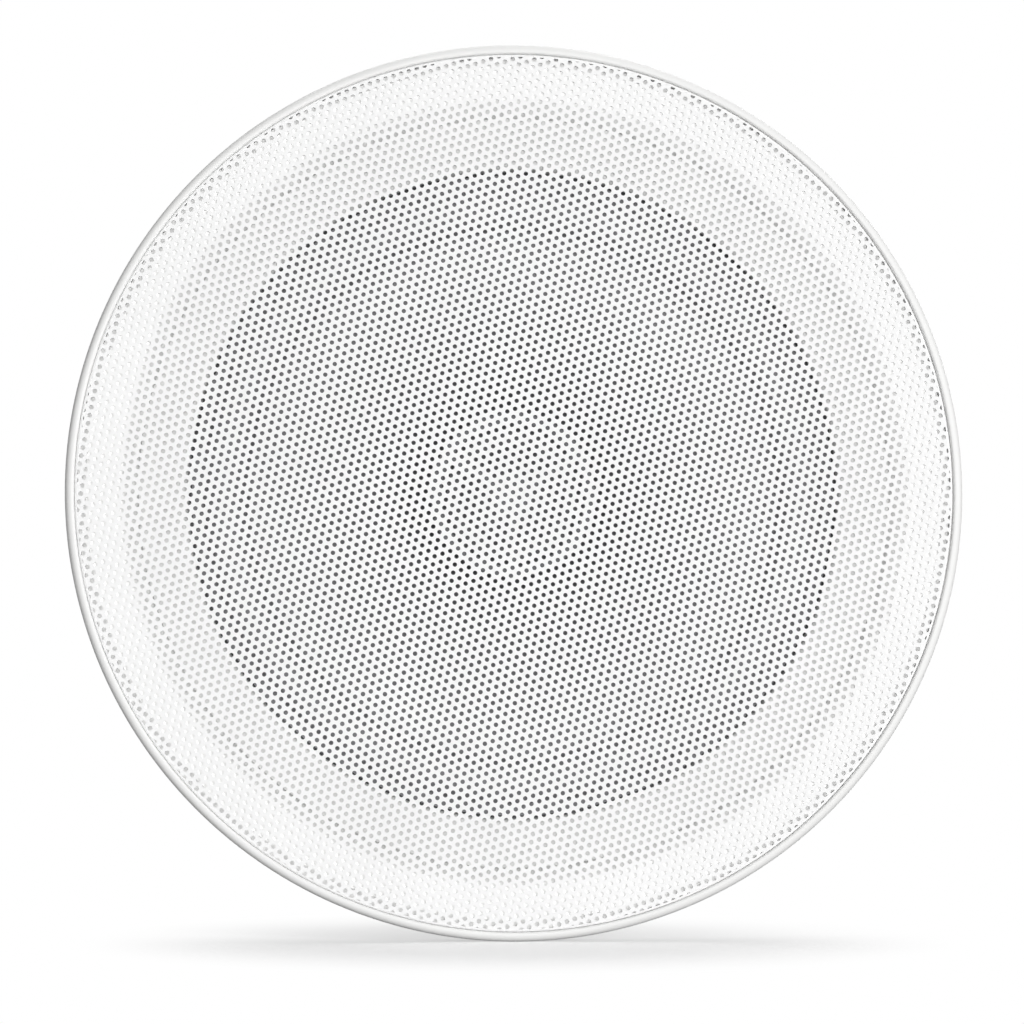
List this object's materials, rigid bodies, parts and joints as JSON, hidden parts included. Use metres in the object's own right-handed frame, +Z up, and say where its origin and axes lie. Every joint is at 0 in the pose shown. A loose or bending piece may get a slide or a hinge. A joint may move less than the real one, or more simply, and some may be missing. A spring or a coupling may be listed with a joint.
{
  "type": "sauna speaker",
  "caption": "Round flush-mount speaker with a flat perforated white grille, a thin rounded rim, a coaxial driver and sprung rear clamps for a wall or ceiling panel.",
  "frame": {"origin": "centre of the flange's rear face, where the frame meets the wall", "axes": "+Z up, +Y into the wall along the speaker's axis, so the grille faces -Y"},
  "size_m": [0.208, 0.0886, 0.208],
  "materials": {
    "frame_plastic": "fine-textured white moulding",
    "grille_steel": "white powder coat",
    "seal_foam": "closed-cell foam",
    "basket_steel": "black powder coat",
    "zinc_steel": "zinc plated",
    "surround_rubber": "matt rubber",
    "cone_plastic": "satin polypropylene",
    "former_foil": "bare foil",
    "coil_wire": "enamelled copper",
    "spider_cloth": "resin-treated cloth",
    "motor_steel": "passivated",
    "magnet_ferrite": "ground ferrite",
    "housing_plastic": "satin black",
    "dome_film": "glossy film",
    "guard_plastic": "satin grey",
    "board_laminate": "phenolic laminate",
    "capacitor_case": "moulded case",
    "tab_brass": "tinned brass",
    "clamp_plastic": "glass-filled nylon",
    "clamp_rubber": "soft rubber"
  },
  "bodies": {
    "speaker": {"front_frame": "frame_plastic", "grille": "grille_steel", "wall_seal": "seal_foam", "driver_gasket": "seal_foam", "basket": "basket_steel", "driver_screws": "zinc_steel", "surround": "surround_rubber", "spider": "spider_cloth", "top_plate": "motor_steel", "magnet": "magnet_ferrite", "pole_yoke": "motor_steel", "tweeter_post": "housing_plastic", "post_nut": "zinc_steel", "tweeter_housing": "housing_plastic", "tweeter_yoke": "motor_steel", "tweeter_magnet": "zinc_steel", "tweeter_dome": "dome_film", "tweeter_guard": "guard_plastic", "crossover_board": "board_laminate", "crossover_capacitor": "capacitor_case", "terminal_tabs": "tab_brass", "clamp_pins": "zinc_steel", "clamp_spring_top": "zinc_steel", "clamp_spring_right": "zinc_steel", "clamp_spring_left": "zinc_steel"},
    "diaphragm": {"cone": "cone_plastic", "coil_former": "former_foil", "voice_coil": "coil_wire"},
    "clamp_top": {"clamp_arm_top": "clamp_plastic", "clamp_sleeve_top": "clamp_rubber"},
    "clamp_right": {"clamp_arm_right": "clamp_plastic", "clamp_sleeve_right": "clamp_rubber"},
    "clamp_left": {"clamp_arm_left": "clamp_plastic", "clamp_sleeve_left": "clamp_rubber"}
  },
  "joints": [
    {"name": "cone_travel", "type": "slide", "parent": "speaker", "child": "diaphragm", "axis": [0, -1, 0], "range_m": [-0.003, 0.003], "stiffness_N_per_m": 1200, "deforming": ["surround", "spider"]},
    {"name": "clamp_top_swing", "type": "hinge", "parent": "speaker", "child": "clamp_top", "pos_m": [0, 0.017, 0.086], "axis": [-1, 0, 0], "range_deg": [0, 118], "stiffness_Nm_per_rad": 0.08, "springref_deg": -68.75, "deforming": ["clamp_spring_top"]},
    {"name": "clamp_right_swing", "type": "hinge", "parent": "speaker", "child": "clamp_right", "pos_m": [0.07448, 0.017, -0.043], "axis": [0.5, 0, 0.866], "range_deg": [0, 118], "stiffness_Nm_per_rad": 0.08, "springref_deg": -68.75, "deforming": ["clamp_spring_right"]},
    {"name": "clamp_left_swing", "type": "hinge", "parent": "speaker", "child": "clamp_left", "pos_m": [-0.07448, 0.017, -0.043], "axis": [0.5, 0, -0.866], "range_deg": [0, 118], "stiffness_Nm_per_rad": 0.08, "springref_deg": -68.75, "deforming": ["clamp_spring_left"]}
  ]
}
